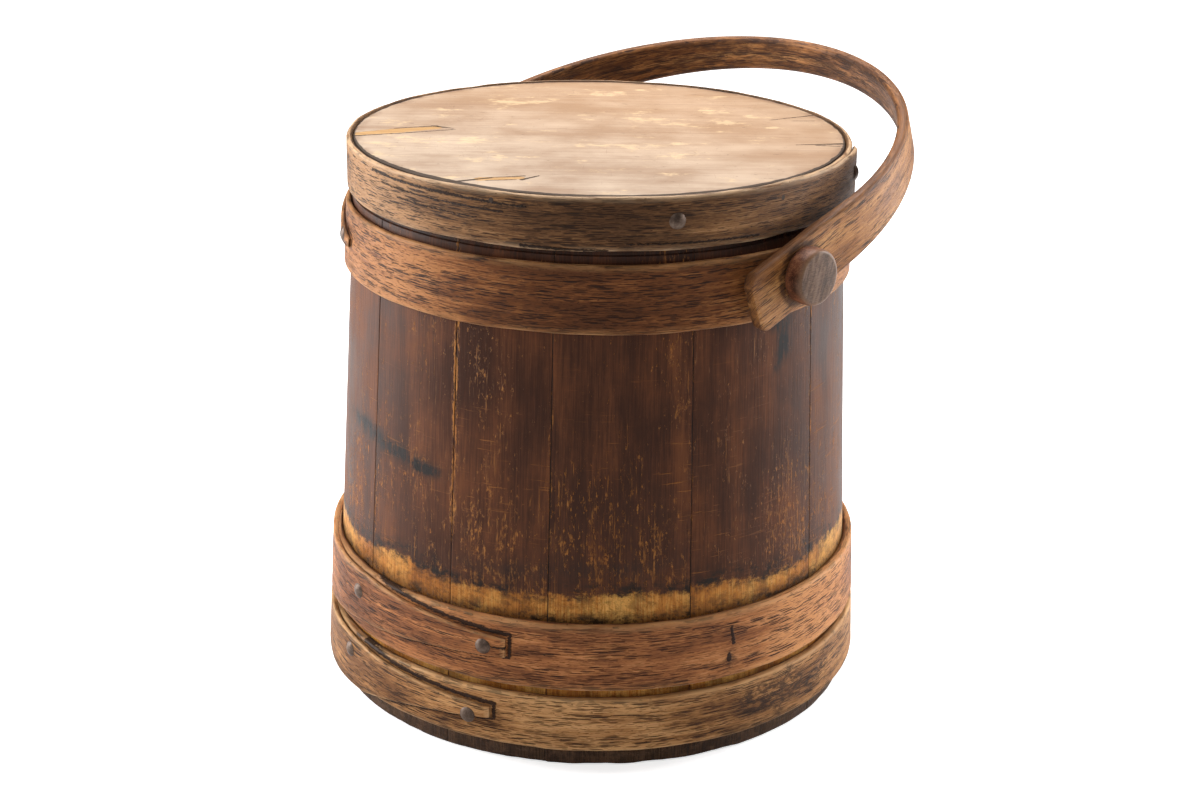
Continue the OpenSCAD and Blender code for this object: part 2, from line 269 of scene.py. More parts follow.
class Shade:
    """A small wrapper that builds a node material from expressions."""

    def __init__(self, name):
        self.mat = bpy.data.materials.new(name)
        self.mat.use_nodes = True
        self.tree = self.mat.node_tree
        self.tree.nodes.clear()
        self.bsdf = self.node("BsdfPrincipled")
        self.node("OutputMaterial", self.bsdf.outputs[0])

    def node(self, kind, *inputs, **settings):
        """A new node with its settings made and its first inputs linked or set."""
        node = self.tree.nodes.new("ShaderNode" + kind)
        for label, value in settings.items():
            setattr(node, label, value)
        for k, value in enumerate(inputs):
            self.put(node.inputs[k], value)
        return node

    def put(self, socket, value):
        """Links a socket to another node's output, or sets it to a number or a tuple."""
        if isinstance(value, bpy.types.NodeSocket):
            self.tree.links.new(value, socket)
        elif isinstance(value, tuple):
            alpha = (1.0,) * (len(socket.default_value) - len(value))
            socket.default_value = value + alpha
        else:
            socket.default_value = value

    def attribute(self, name):
        return self.node("Attribute", attribute_name=name).outputs["Vector"]

    def split(self, vector):
        node = self.node("SeparateXYZ", vector)
        return node.outputs[0], node.outputs[1], node.outputs[2]

    def join(self, x, y, z):
        return self.node("CombineXYZ", x, y, z).outputs[0]

    def math(self, op, a, b=0.0, c=0.0, clamp=False):
        return self.node("Math", a, b, c, operation=op, use_clamp=clamp).outputs[0]

    def add(self, a, b, clamp=False):
        return self.math("ADD", a, b, clamp=clamp)

    def sub(self, a, b):
        return self.math("SUBTRACT", a, b)

    def mul(self, a, b, clamp=False):
        return self.math("MULTIPLY", a, b, clamp=clamp)

    def mul_add(self, a, b, c, clamp=False):
        return self.math("MULTIPLY_ADD", a, b, c, clamp)

    def most(self, a, b):
        return self.math("MAXIMUM", a, b)

    def vector_math(self, op, vector, by):
        return self.node("VectorMath", vector, by, operation=op).outputs[0]

    def noise(self, vector, scale, detail=3.0, rough=0.55, distort=0.0):
        """Fractal noise, about 0.5 in the middle; scale is how fast it changes along each direction."""
        node = self.node("TexNoise", self.vector_math("MULTIPLY", vector, scale))
        settings = {"Scale": 1.0, "Detail": detail, "Roughness": rough, "Distortion": distort}
        for label, value in settings.items():
            node.inputs[label].default_value = value
        return node.outputs[0]

    def cells(self, vector, scale):
        """Distance to the nearest of a scatter of points on the vector's first two coordinates."""
        node = self.node("TexVoronoi", self.vector_math("MULTIPLY", vector, scale), voronoi_dimensions="2D")
        node.inputs["Scale"].default_value = 1.0
        return node.outputs["Distance"]

    def stroke(self, x, y, line, soft, ragged):
        """1 inside a line, 0 outside it. The line is its start, its end and the width at both."""
        x0, y0, x1, y1, w0, w1 = line
        dx, dy = x1 - x0, y1 - y0
        size = dx * dx + dy * dy
        rx = self.sub(x, x0)
        ry = self.sub(y, y0)
        t = self.mul_add(rx, dx / size, self.mul(ry, dy / size), clamp=True)
        ex = self.mul_add(t, -dx, rx)
        ey = self.mul_add(t, -dy, ry)
        far = self.math("SQRT", self.mul_add(ex, ex, self.mul(ey, ey)))
        half = self.mul_add(t, (w1 - w0) / 2, w0 / 2)
        gap = self.add(self.sub(far, half), ragged)
        return self.step(gap, -soft / 2, soft / 2, 1.0, 0.0)

    def strokes(self, x, y, lines, soft, ragged):
        """1 inside any of the lines."""
        total = 0.0
        for line in lines:
            total = self.most(self.stroke(x, y, line, soft, ragged), total)
        return total

    def step(self, value, lo, hi, to_lo=0.0, to_hi=1.0):
        """to_lo where the value is below lo, to_hi above hi, a smooth change between."""
        node = self.node("MapRange", value, lo, hi, to_lo, to_hi, interpolation_type="SMOOTHSTEP")
        return node.outputs[0]

    def ramp(self, value, stops):
        """A colour from a value; stops are (value, colour)."""
        node = self.node("ValToRGB", value)
        elements = node.color_ramp.elements
        while len(elements) < len(stops):
            elements.new(0.5)
        for element, (place, color) in zip(elements, stops):
            element.position = place
            element.color = color + (1.0,)
        return node.outputs[0]

    def shades(self, value, lo, hi, colors):
        """Three colours: the first where the value is lo, the second halfway, the third where it is hi."""
        return self.ramp(self.step(value, lo, hi), list(zip((0.0, 0.5, 1.0), colors)))

    def mix(self, fac, a, b):
        """Colour a where fac is 0, b where it is 1."""
        node = self.node("Mix", fac, data_type="RGBA")
        self.put(node.inputs[6], a)
        self.put(node.inputs[7], b)
        return node.outputs[2]

    def finish(self, color, rough, height, depth, spec=0.5):
        """Joins colour, roughness and relief (depth in metres) to the surface; returns the material."""
        bump = self.node("Bump")
        bump.inputs["Strength"].default_value = 1.0
        bump.inputs["Distance"].default_value = depth
        self.put(bump.inputs["Height"], height)
        self.put(self.bsdf.inputs["Base Color"], color)
        self.put(self.bsdf.inputs["Roughness"], rough)
        self.put(self.bsdf.inputs["Normal"], bump.outputs[0])
        self.bsdf.inputs["Specular IOR Level"].default_value = spec
        return self.mat


def in_mm(s, vector):
    """A vector in metres as millimetres."""
    return s.vector_math("MULTIPLY", vector, (1 / MM, 1 / MM, 1 / MM))


def grain_fields(s, wander, seed=0.0):
    """Grain coordinates in mm, wandering a little, and the mark channels."""
    g = in_mm(s, s.attribute("grain"))
    g = s.vector_math("ADD", g, (seed * 37.0, seed * 11.0, seed * 5.0))
    low = s.noise(g, (0.006, 0.03, 0.03), 2.0)
    shift = s.mul(s.sub(low, 0.5), wander * 2.0)
    gx, gy, gz = s.split(g)
    g = s.join(gx, s.add(gy, shift), gz)
    return g, s.split(s.attribute("marks"))


def arc(angle):
    """Distance along a band, in mm, of a place at an angle round the pail."""
    return math.radians(angle) * BAND_R / MM


def band_marks(*rows):
    """Single marks on a band, each from (angle, height) to (angle, height) with its width at both ends."""
    return tuple((arc(a0), h0, arc(a1), h1, w0, w1) for a0, h0, a1, h1, w0, w1 in rows)


def tongue_shadow(shape, hoop, wide, both=True):
    """Painted shadow lines on the layer under a tongue: past its tip, over it and, if both is set, under
    it.
    """
    edges = tongue(shape, *span(hoop))
    stops = (shape[0] + 0.7, shape[0] - 14, shape[0] - 35)
    rows = [(arc(a), edges(a)[0] / MM, edges(a)[1] / MM) for a in stops]
    lines = [(rows[0][0], rows[0][1], rows[0][0], rows[0][2] + 0.5, wide, wide)]
    for (x0, low0, high0), (x1, low1, high1) in zip(rows, rows[1:]):
        lines.append((x0, high0 + 1.3, x1, high1 + 1.3, wide * 1.2, wide * 1.1))
        if both:
            lines.append((x0, low0 - 0.7, x1, low1 - 0.7, wide * 0.6, wide * 0.5))
    return tuple(lines)


def ring_porous(name, tones, pore, pale, grime, seed=0.0, rough=(0.45, 0.72), grime_and_shade_amount=0.6,
                spec=0.14, cracks_and_shadow_lines=(), blots=()):
    """Oak or ash: fine grain, rows of short dark pores, pale rubbed edges, grime with painted shade, and
    single marks, among them painted shadow lines along lap tongues. The third mark channel is painted light
    and
    shade round the pail: the wood is lighter where it is above 0 and darker where it is below."""
    s = Shade(name)
    sx, sy = s.split(in_mm(s, s.attribute("grain")))[:2]
    g, (edge, dirt, special) = grain_fields(s, 2.0, seed)
    gx, gy, gz = s.split(g)
    flat = s.join(gx, s.add(gy, gz), 0.0)
    fibre = s.noise(g, (0.05, 1.9, 1.5), 4.0, 0.62)
    band = s.noise(g, (0.005, 0.22, 0.2), 3.0, 0.55, 0.5)
    patch = s.noise(g, (0.022, 0.07, 0.06), 5.0, 0.64)
    tone = s.add(s.mul(fibre, 0.42), s.add(s.mul(band, 0.32), s.mul(patch, 0.42)))
    # painted light and shade from the third mark: lighter and darker places round the pail
    tone = s.mul_add(special, 0.16, tone)
    color = s.shades(tone, 0.455, 0.765, tones)
    crowd = s.noise(g, (0.012, 0.3, 0.25), 2.0)
    reach = s.step(crowd, 0.34, 0.62, 0.09, 0.29)
    long_pit = s.step(s.sub(s.cells(flat, (0.062, 1.1, 1.0)), reach), -0.03, 0.015, 1.0, 0.0)
    short_pit = s.step(s.sub(s.cells(flat, (0.15, 1.9, 1.0)), reach), -0.04, 0.02, 0.55, 0.0)
    pits = s.most(long_pit, short_pit)
    color = s.mix(s.mul(pits, 0.93), color, pore)
    rub = s.mul(edge, s.step(s.noise(g, (0.05, 0.4, 0.4), 4.0, 0.6), 0.28, 0.55))
    color = s.mix(s.mul(rub, 0.75), color, pale)
    # soot from the dirt mark; on the bands it also holds painted shade towards the low edge and in the gap
    # at the inner top corner, and on the bail round the peg heads
    smear = s.noise(g, (0.04, 0.2, 0.15), 5.0, 0.7)
    soot_and_shade = s.step(s.mul_add(dirt, 0.40, smear), 0.60, 0.90)
    soot_and_shade = s.mul(soot_and_shade, grime_and_shade_amount, clamp=True)
    color = s.mix(soot_and_shade, color, grime)
    speck = s.step(s.noise(g, (0.3, 0.5, 0.4), 3.0, 0.6), 0.68, 0.72)
    color = s.mix(s.mul(speck, 0.6), color, pore)
    jag = s.mul(s.sub(s.noise(g, (0.5, 1.2, 1.0), 3.0), 0.5), 2.2)
    # cracks and nail marks, and on the hoops painted shadow lines along the lap tongues
    crack_and_shadow_line = s.strokes(sx, sy, cracks_and_shadow_lines, 0.5, jag)
    color = s.mix(s.mul(crack_and_shadow_line, 0.95), color, pore)
    blot = s.strokes(sx, sy, blots, 6.0, s.mul(jag, 3.0))
    blot = s.mul(blot, s.step(s.noise(g, (0.22, 0.45, 0.3), 5.0, 0.7), 0.42, 0.56))
    color = s.mix(s.mul(blot, 0.8), color, grime)
    height = s.sub(s.mul(fibre, 0.35), pits)
    height = s.mul_add(crack_and_shadow_line, -2.5, height)
    shine = s.step(s.add(fibre, s.mul(soot_and_shade, 0.3)), 0.3, 0.9, rough[0], rough[1])
    return s.finish(color, shine, height, 0.0004, spec)


def body_paint():
    """Worn dark red-brown paint over bare staves; bare and ochre below the band where paint stopped.
    The third mark channel is the staves' inside, which is raw wood."""
    s = Shade("worn_red_brown_paint")
    g, (edge, dirt, special) = grain_fields(s, 1.5)
    gx = s.split(g)[0]
    fibre = s.noise(g, (0.035, 1.2, 0.4), 4.0, 0.62)
    wide = s.noise(g, (0.007, 0.07, 0.02), 3.0, 0.55)
    blotch = s.noise(g, (0.018, 0.024, 0.02), 5.0, 0.64)
    tone = s.add(s.mul(fibre, 0.30), s.add(s.mul(wide, 0.30), s.mul(blotch, 0.45)))
    paint = s.shades(
        tone, 0.42, 0.68, ((0.040, 0.013, 0.006), (0.082, 0.027, 0.011), (0.140, 0.047, 0.017)))
    bare = s.ramp(fibre,
                  [(0.25, (0.22, 0.075, 0.013)), (0.5, (0.42, 0.165, 0.036)), (0.8, (0.58, 0.29, 0.08))])
    # rubbed spots: orange flecks in clusters, vertical scuffs, fine scratches across
    zone = s.noise(g, (0.012, 0.026, 0.02), 3.0, 0.6)
    near_strip = s.step(gx, 100.0, 190.0, 0.035, 0.0)
    crowd = s.add(s.step(zone, 0.38, 0.66, -0.03, 0.05), near_strip)
    fleck = s.add(s.noise(g, (0.24, 0.55, 0.2), 5.0, 0.74), crowd)
    fleck = s.step(fleck, 0.625, 0.70)
    scuff = s.add(s.noise(g, (0.045, 0.9, 0.3), 4.0, 0.68), crowd)
    scuff = s.step(scuff, 0.64, 0.73)
    scratch = s.step(s.noise(g, (1.2, 0.04, 0.3), 2.0, 0.55, 0.5), 0.64, 0.70)
    scratch = s.mul(scratch, s.mul(s.step(blotch, 0.45, 0.58), s.step(gx, 165.0, 215.0, 1.0, 0.12)))
    rub = s.add(s.noise(g, (0.11, 0.25, 0.2), 5.0, 0.74), crowd)
    rub = s.mul(s.step(rub, 0.62, 0.71), s.step(fibre, 0.36, 0.60, 0.15, 0.80))
    chip = s.mul_add(edge, 0.17, s.noise(g, (0.11, 0.55, 0.3), 6.0, 0.8))
    chip_zone = s.mul(s.step(edge, 0.02, 0.2), s.step(gx, 12.0, 30.0, 0.25, 1.0))
    chip = s.mul(s.step(chip, 0.62, 0.70), chip_zone)
    rubbed = s.most(s.mul(fleck, 0.85), s.mul(scuff, 0.7))
    rubbed = s.most(rubbed, s.mul(scratch, 0.6))
    rubbed = s.most(s.most(rubbed, rub), chip)
    bare = s.mix(s.step(blotch, 0.4, 0.6, 0.35, 0.8), bare, (0.33, 0.115, 0.028))
    color = s.mix(rubbed, paint, bare)
    # the paint stops in a ragged dark line above the middle hoop
    slow = s.mul(s.sub(s.noise(g, (0.015, 0.018, 0.02), 3.0), 0.5), 13.0)
    rag = s.mul(s.sub(s.noise(g, (0.22, 0.20, 0.1), 6.0, 0.8), 0.5), 13.0)
    line = s.add(gx, s.add(rag, slow))
    below = s.step(line, 91.5, 94.5, 1.0, 0.0)
    soot_line = s.mul(s.step(line, 88.0, 94.0), s.step(line, 95.0, 106.0, 1.0, 0.0))
    grime = s.step(s.noise(g, (0.13, 0.075, 0.05), 6.0, 0.75), 0.46, 0.60)
    crust = s.step(s.noise(g, (0.5, 0.45, 0.3), 4.0, 0.7), 0.50, 0.64)
    strip_tone = s.add(s.mul(fibre, 0.3), s.mul(blotch, 0.7))
    strip = s.shades(
        strip_tone, 0.36, 0.64, ((0.25, 0.080, 0.012), (0.46, 0.175, 0.032), (0.66, 0.34, 0.085)))
    low_dark = s.mul(s.step(gx, 80.0, 87.0, 0.55, 0.0), s.step(gx, 44.0, 60.0))
    soiled = s.most(s.mul(grime, 0.5), s.mul(crust, 0.35))
    strip = s.mix(s.add(soiled, low_dark, clamp=True), strip, (0.045, 0.022, 0.008))
    color = s.mix(below, color, strip)
    # the foot is nearly black
    foot_tone = s.add(s.mul(fibre, 0.4), s.mul(grime, 0.12))
    foot = s.shades(
        foot_tone, 0.10, 0.32, ((0.022, 0.012, 0.008), (0.060, 0.033, 0.021), (0.115, 0.062, 0.036)))
    color = s.mix(s.step(gx, 9.0, 14.0, 0.95, 0.0), color, foot)
    color = s.mix(s.mul(soot_line, s.mul_add(grime, 0.75, 0.2)), color, (0.014, 0.010, 0.008))
    # grime and stains where the marks say
    blot = s.step(s.noise(g, (0.10, 0.30, 0.1), 5.0, 0.75), 0.40, 0.56)
    color = s.mix(s.mul(dirt, s.mul_add(blot, 0.7, 0.3), clamp=True), color, (0.016, 0.013, 0.012))
    old = s.mul(special, s.step(fibre, 0.3, 0.7, 0.75, 1.0))
    inside = s.ramp(s.step(tone, 0.42, 0.70), [(0.0, (0.12, 0.065, 0.032)), (1.0, (0.30, 0.19, 0.11))])
    color = s.mix(old, color, inside)
    height = s.sub(s.mul(fibre, 0.35), s.mul(rubbed, 0.6))
    height = s.mul_add(crust, s.mul(below, -0.4), height)
    shine = s.step(s.add(blotch, s.mul(rubbed, 0.3)), 0.3, 0.8, 0.42, 0.62)
    return s.finish(color, shine, height, 0.00035, 0.13)


# The lid board's marks for the painted gap shadow at its rim are distances in units of LID_MARK
LID_MARK = 20.0 * MM

# Single marks on the lid board, in mm along and across its grain: from, to, width at both ends
LID_SPLINTER = ((-128.0, -11.5, -107.0, -2.5, 6.0, 9.5), (-107.0, -2.5, -86.0, 6.5, 9.5, 5.5),
                (-57.0, -99.0, -38.0, -95.5, 6.0, 5.0))
LID_CRACKS = ((-129.0, -16.0, -105.0, -8.0, 1.6, 1.0), (-105.0, -8.0, -76.0, 3.0, 1.0, 0.7),
              (-108.0, 3.0, -86.0, 10.5, 0.8, 1.4), (-88.0, 10.0, -77.0, 5.5, 2.4, 0.6),
              (-72.0, -106.0, -52.0, -96.5, 2.6, 1.4), (-52.0, -96.0, -36.0, -91.5, 1.0, 1.2),
              (-37.0, -99.0, -29.0, -90.5, 2.4, 1.0), (-54.0, -101.5, -40.0, -99.0, 0.8, 1.0),
              (102.0, -18.5, 130.0, -13.5, 0.6, 3.0), (112.0, -18.5, 124.0, -20.5, 1.0, 0.8),
              (92.0, 37.0, 124.0, 55.0, 0.5, 1.4), (104.0, 36.0, 116.0, 37.0, 0.5, 0.5))


def lid_wood():
    """The lid board: pale rubbed wood with long grain, warm worn patches and small dark nicks."""
    s = Shade("pale_worn_lid_board")
    sx, sy = s.split(in_mm(s, s.attribute("grain")))[:2]
    g, (edge, dirt, special) = grain_fields(s, 7.0, 1.0)
    fibre = s.noise(g, (0.016, 1.1, 0.4), 4.0, 0.6)
    band = s.noise(g, (0.003, 0.05, 0.05), 3.0, 0.55, 0.4)
    patch = s.noise(g, (0.017, 0.020, 0.02), 5.0, 0.62)
    tone = s.add(s.mul(fibre, 0.22), s.add(s.mul(band, 0.25), s.mul(patch, 0.55)))
    color = s.shades(
        tone, 0.40, 0.64, ((0.285, 0.180, 0.112), (0.365, 0.258, 0.178), (0.45, 0.335, 0.240)))
    edge_tone = s.step(s.add(s.mul(sx, 0.7), sy), -120.0, 120.0)
    color = s.mix(s.mul(edge_tone, 0.45), color, (0.38, 0.20, 0.085))
    warm = s.step(s.noise(g, (0.024, 0.040, 0.02), 6.0, 0.72), 0.55, 0.64)
    color = s.mix(s.mul(warm, 0.6), color, (0.62, 0.44, 0.25))
    ridge = s.step(s.noise(g, (0.008, 0.45, 0.2), 2.0, 0.5), 0.58, 0.70)
    color = s.mix(s.mul(ridge, 0.22), color, (0.20, 0.11, 0.065))
    rim = s.mul(edge, s.step(s.noise(g, (0.06, 0.06, 0.04), 5.0, 0.68), 0.40, 0.60))
    color = s.mix(s.mul(rim, 0.70), color, (0.17, 0.085, 0.042))
    nick = s.step(s.noise(g, (0.17, 0.6, 0.3), 5.0, 0.68), 0.655, 0.69)
    color = s.mix(s.mul(nick, 0.7), color, (0.09, 0.042, 0.022))
    scrape = s.step(s.noise(g, (0.9, 0.06, 0.2), 3.0, 0.6), 0.66, 0.70)
    color = s.mix(s.mul(scrape, 0.22), color, (0.18, 0.10, 0.06))
    raw = s.ramp(fibre, [(0.35, (0.27, 0.125, 0.035)), (0.6, (0.50, 0.29, 0.11))])
    jag = s.mul(s.sub(s.noise(g, (0.5, 0.9, 0.3), 3.0), 0.5), 2.6)
    splinter = s.strokes(sx, sy, LID_SPLINTER, 0.8, jag)
    color = s.mix(splinter, color, raw)
    crack = s.strokes(sx, sy, LID_CRACKS, 0.5, s.mul(jag, 0.5))
    # here dirt is the reach of the painted gap shadow at the rim and special the distance from the rim
    ring = s.mul(s.sub(special, dirt), LID_MARK / MM)
    ring = s.add(ring, s.mul(s.sub(s.noise(g, (0.12, 0.12, 0.1), 4.0), 0.5), 2.4))
    ring = s.step(ring, -0.4, 0.4, 0.93, 0.0)
    # painted gap shadow at the rim, joined with the dark cracks
    color = s.mix(s.most(ring, s.mul(crack, 0.92)), color, (0.030, 0.017, 0.010))
    height = s.sub(s.mul(fibre, 0.22), s.mul(nick, 0.6))
    height = s.sub(height, s.mul_add(splinter, 1.2, s.mul(crack, 2.0)))
    shine = s.step(s.add(patch, s.mul(warm, 0.2)), 0.3, 0.9, 0.46, 0.66)
    shine = s.most(shine, s.mul(s.most(ring, crack), 0.95))
    return s.finish(color, shine, height, 0.0003, 0.3)


def turned_wood():
    """Smooth, dark turned hardwood for the pegs, greyer on the rubbed end faces."""
    s = Shade("dark_turned_peg_wood")
    g, (edge, dirt, special) = grain_fields(s, 1.0, 3.0)
    streak = s.noise(g, (0.40, 0.07, 0.10), 4.0, 0.6, 0.4)
    fibre = s.noise(g, (0.35, 2.2, 2.2), 3.0, 0.6)
    blotch = s.noise(g, (0.12, 0.12, 0.12), 4.0, 0.65)
    side_tone = s.add(s.mul(fibre, 0.45), s.mul(blotch, 0.55))
    color = s.shades(
        side_tone, 0.38, 0.64, ((0.035, 0.012, 0.007), (0.115, 0.040, 0.020), (0.24, 0.095, 0.045)))
    face_tone = s.add(s.mul(streak, 0.65), s.mul(fibre, 0.35))
    face = s.shades(
        face_tone, 0.33, 0.68, ((0.050, 0.026, 0.016), (0.125, 0.070, 0.044), (0.20, 0.120, 0.078)))
    color = s.mix(special, color, face)
    # a lighter ring at the rounded rim of the face: edge wear and painted highlight
    color = s.mix(s.mul(edge, 0.40), color, (0.26, 0.14, 0.075))
    color = s.mix(s.mul(dirt, 0.8), color, (0.02, 0.012, 0.008))
    shine = s.step(blotch, 0.3, 0.7, 0.28, 0.42)
    return s.finish(color, shine, s.add(fibre, streak), 0.00010, 0.18)


def old_metal(name, tones, rough, metal):
    """Dull, pitted metal; tones go from dark to light."""
    s = Shade(name)
    coord = s.node("TexCoord").outputs["Object"]
    big = s.noise(coord, (260.0, 260.0, 260.0), 4.0, 0.6)
    fine = s.noise(coord, (1300.0, 1300.0, 1300.0), 3.0, 0.6)
    color = s.ramp(s.add(s.mul(big, 0.7), s.mul(fine, 0.3)), list(zip((0.3, 0.5, 0.72), tones)))
    s.bsdf.inputs["Metallic"].default_value = metal
    shine = s.step(big, 0.3, 0.7, rough[0], rough[1])
    return s.finish(color, shine, s.add(big, s.mul(fine, 0.4)), 0.00025)


def plain_board(name, tones, seed):
    """Bare wood for what is seen only from below or with the lid up; grain from object coordinates."""
    s = Shade(name)
    coord = s.node("TexCoord").outputs["Object"]
    g = s.vector_math("ADD", in_mm(s, coord), (seed * 13.0, seed * 29.0, 0.0))
    fibre = s.noise(g, (0.02, 0.9, 0.9), 4.0, 0.6)
    band = s.noise(g, (0.004, 0.08, 0.05), 3.0, 0.55, 0.6)
    color = s.shades(s.add(s.mul(fibre, 0.45), s.mul(band, 0.55)), 0.32, 0.68, tones)
    stain = s.step(s.noise(g, (0.015, 0.02, 0.02), 4.0, 0.6), 0.5, 0.72)
    color = s.mix(s.mul(stain, 0.5), color, (0.06, 0.035, 0.02))
    return s.finish(color, s.step(fibre, 0.3, 0.7, 0.55, 0.75), fibre, 0.0003, 0.3)


PAINT = body_paint()
HOOP_TOP_WOOD = ring_porous(
    "rubbed_orange_oak", ((0.085, 0.027, 0.008), (0.20, 0.068, 0.020), (0.40, 0.165, 0.055)),
    (0.016, 0.006, 0.003), (0.50, 0.25, 0.10), (0.022, 0.009, 0.005), 2.0, grime_and_shade_amount=0.5,
    cracks_and_shadow_lines=tongue_shadow(TONGUE_A, "hoop_top", 0.9, False))
HOOP_MID_WOOD = ring_porous(
    "rubbed_brown_oak", ((0.16, 0.054, 0.019), (0.37, 0.137, 0.046), (0.58, 0.255, 0.095)),
    (0.020, 0.008, 0.004), (0.56, 0.30, 0.13), (0.026, 0.011, 0.006), 4.0, grime_and_shade_amount=0.55,
    cracks_and_shadow_lines=tongue_shadow(TONGUE_B, "hoop_middle", 1.7) + band_marks(
        (299.4, 65, 296, 65, 1.6, 0.6), (-14, 63, -14.5, 71.5, 2.2, 1.4), (-15, 54.5, -15, 57, 3.0, 2.0)),
    blots=band_marks((-15.5, 52.0, -14.4, 58.0, 5.0, 4.0)))
HOOP_LOW_WOOD = ring_porous(
    "rubbed_ochre_oak", ((0.15, 0.060, 0.020), (0.38, 0.175, 0.062), (0.58, 0.31, 0.125)),
    (0.024, 0.010, 0.005), (0.60, 0.36, 0.17), (0.028, 0.015, 0.009), 6.0, grime_and_shade_amount=0.6,
    cracks_and_shadow_lines=tongue_shadow(TONGUE_C, "hoop_bottom", 1.7),
    blots=band_marks(
        (-9, 27.0, 3, 27.0, 17.0, 15.0), (-2, 18.0, 1, 34.0, 8.0, 9.0), (8, 22.0, 14, 28.0, 9.0, 7.0)))
LID_BAND_WOOD = ring_porous(
    "grimy_lid_band_oak", ((0.080, 0.034, 0.013), (0.20, 0.092, 0.036), (0.36, 0.185, 0.080)),
    (0.022, 0.010, 0.005), (0.60, 0.40, 0.24), (0.022, 0.012, 0.007), 8.0, grime_and_shade_amount=0.5,
    cracks_and_shadow_lines=band_marks(
        (258, 291.8, 283, 291.2, 0.8, 1.5), (283, 291.2, 301, 289.8, 1.5, 0.6),
        (262, 287.6, 296, 286.4, 0.5, 0.9), (268, 283.0, 290, 282.0, 0.7, 0.4),
        (300, 271.0, 318, 270.2, 1.4, 0.8), (322, 273.5, 352, 272.5, 0.6, 1.0)),
    blots=band_marks((390, 281.0, 396, 292.0, 5.0, 7.0), (292, 289.5, 304, 290.5, 4.0, 3.0)))
HANDLE_WOOD = ring_porous(
    "hand_worn_ash_bail", ((0.17, 0.062, 0.018), (0.38, 0.160, 0.050), (0.56, 0.28, 0.100)),
    (0.026, 0.011, 0.006), (0.15, 0.060, 0.024), (0.045, 0.018, 0.009), 10.0,
    rough=(0.40, 0.62), grime_and_shade_amount=0.85, spec=0.16)
LID_WOOD = lid_wood()
PEG_WOOD = turned_wood()
PIN_WOOD = plain_board("split_pin_wood", ((0.14, 0.07, 0.03), (0.26, 0.15, 0.07), (0.36, 0.22, 0.11)), 5.0)
BOTTOM_WOOD = plain_board(
    "bare_bottom_board", ((0.14, 0.08, 0.045), (0.26, 0.16, 0.09), (0.36, 0.24, 0.14)), 2.0)
TACK_METAL = old_metal(
    "dull_tack_metal", ((0.035, 0.020, 0.013), (0.10, 0.062, 0.043), (0.20, 0.145, 0.11)), (0.38, 0.6), 0.6)
BRAD_IRON = old_metal(
    "rusty_brad_iron", ((0.02, 0.014, 0.011), (0.05, 0.032, 0.024), (0.10, 0.06, 0.04)), (0.5, 0.8), 0.5)


# ---- staves

def stave_profile():
    """The stave's section as (radius, height): outside up, over the rim, inside down, croze, foot.
    Also how many of its points are on the outside."""
    def inner(z):
        return body_r(z) - STAVE_T
    croze_lo, croze_hi, depth = CROZE
    out = [(body_r(0) - 1.6 * MM, 0.0), (body_r(0) - 0.5 * MM, 0.7 * MM), (body_r(2 * MM), 2.0 * MM)]
    heights = list(np.arange(4, 12, 2) * MM) + list(np.linspace(14 * MM, SHAVE_Z, 116))
    out += [(body_r(z), z) for z in heights]
    out += [(SEAT_R, SHAVE_Z + 0.5 * MM), (SEAT_R, STAVE_H - 1.0 * MM), (SEAT_R - 1.0 * MM, STAVE_H)]
    count = len(out)
    out += [(inner(STAVE_H) + 0.8 * MM, STAVE_H), (inner(STAVE_H), STAVE_H - 0.8 * MM)]
    out += [(inner(z), z) for z in np.linspace(STAVE_H - 6 * MM, croze_hi, 24)]
    groove = inner(croze_hi) + depth
    out += [(groove, croze_hi), (groove, croze_lo), (inner(croze_lo), croze_lo)]
    out += [(inner(8 * MM), 8 * MM), (inner(2 * MM), 2 * MM), (inner(0) + 2 * MM, 0.0)]
    return np.array(out), count


def arc_stations(a0, a1, radius):
    """Angles across a stave in radians from its first edge, close together at its two edges."""
    length = math.radians(a1 - a0) * radius
    edge = [0.0, 0.15, 0.35, 0.6, 1.2, 2.4]
    inside = list(np.linspace(4.2 * MM, length - 4.2 * MM, max(int(length / (2.6 * MM)), 6)))
    places = [e * MM for e in edge] + inside + [length - e * MM for e in reversed(edge)]
    return np.array(places) / radius


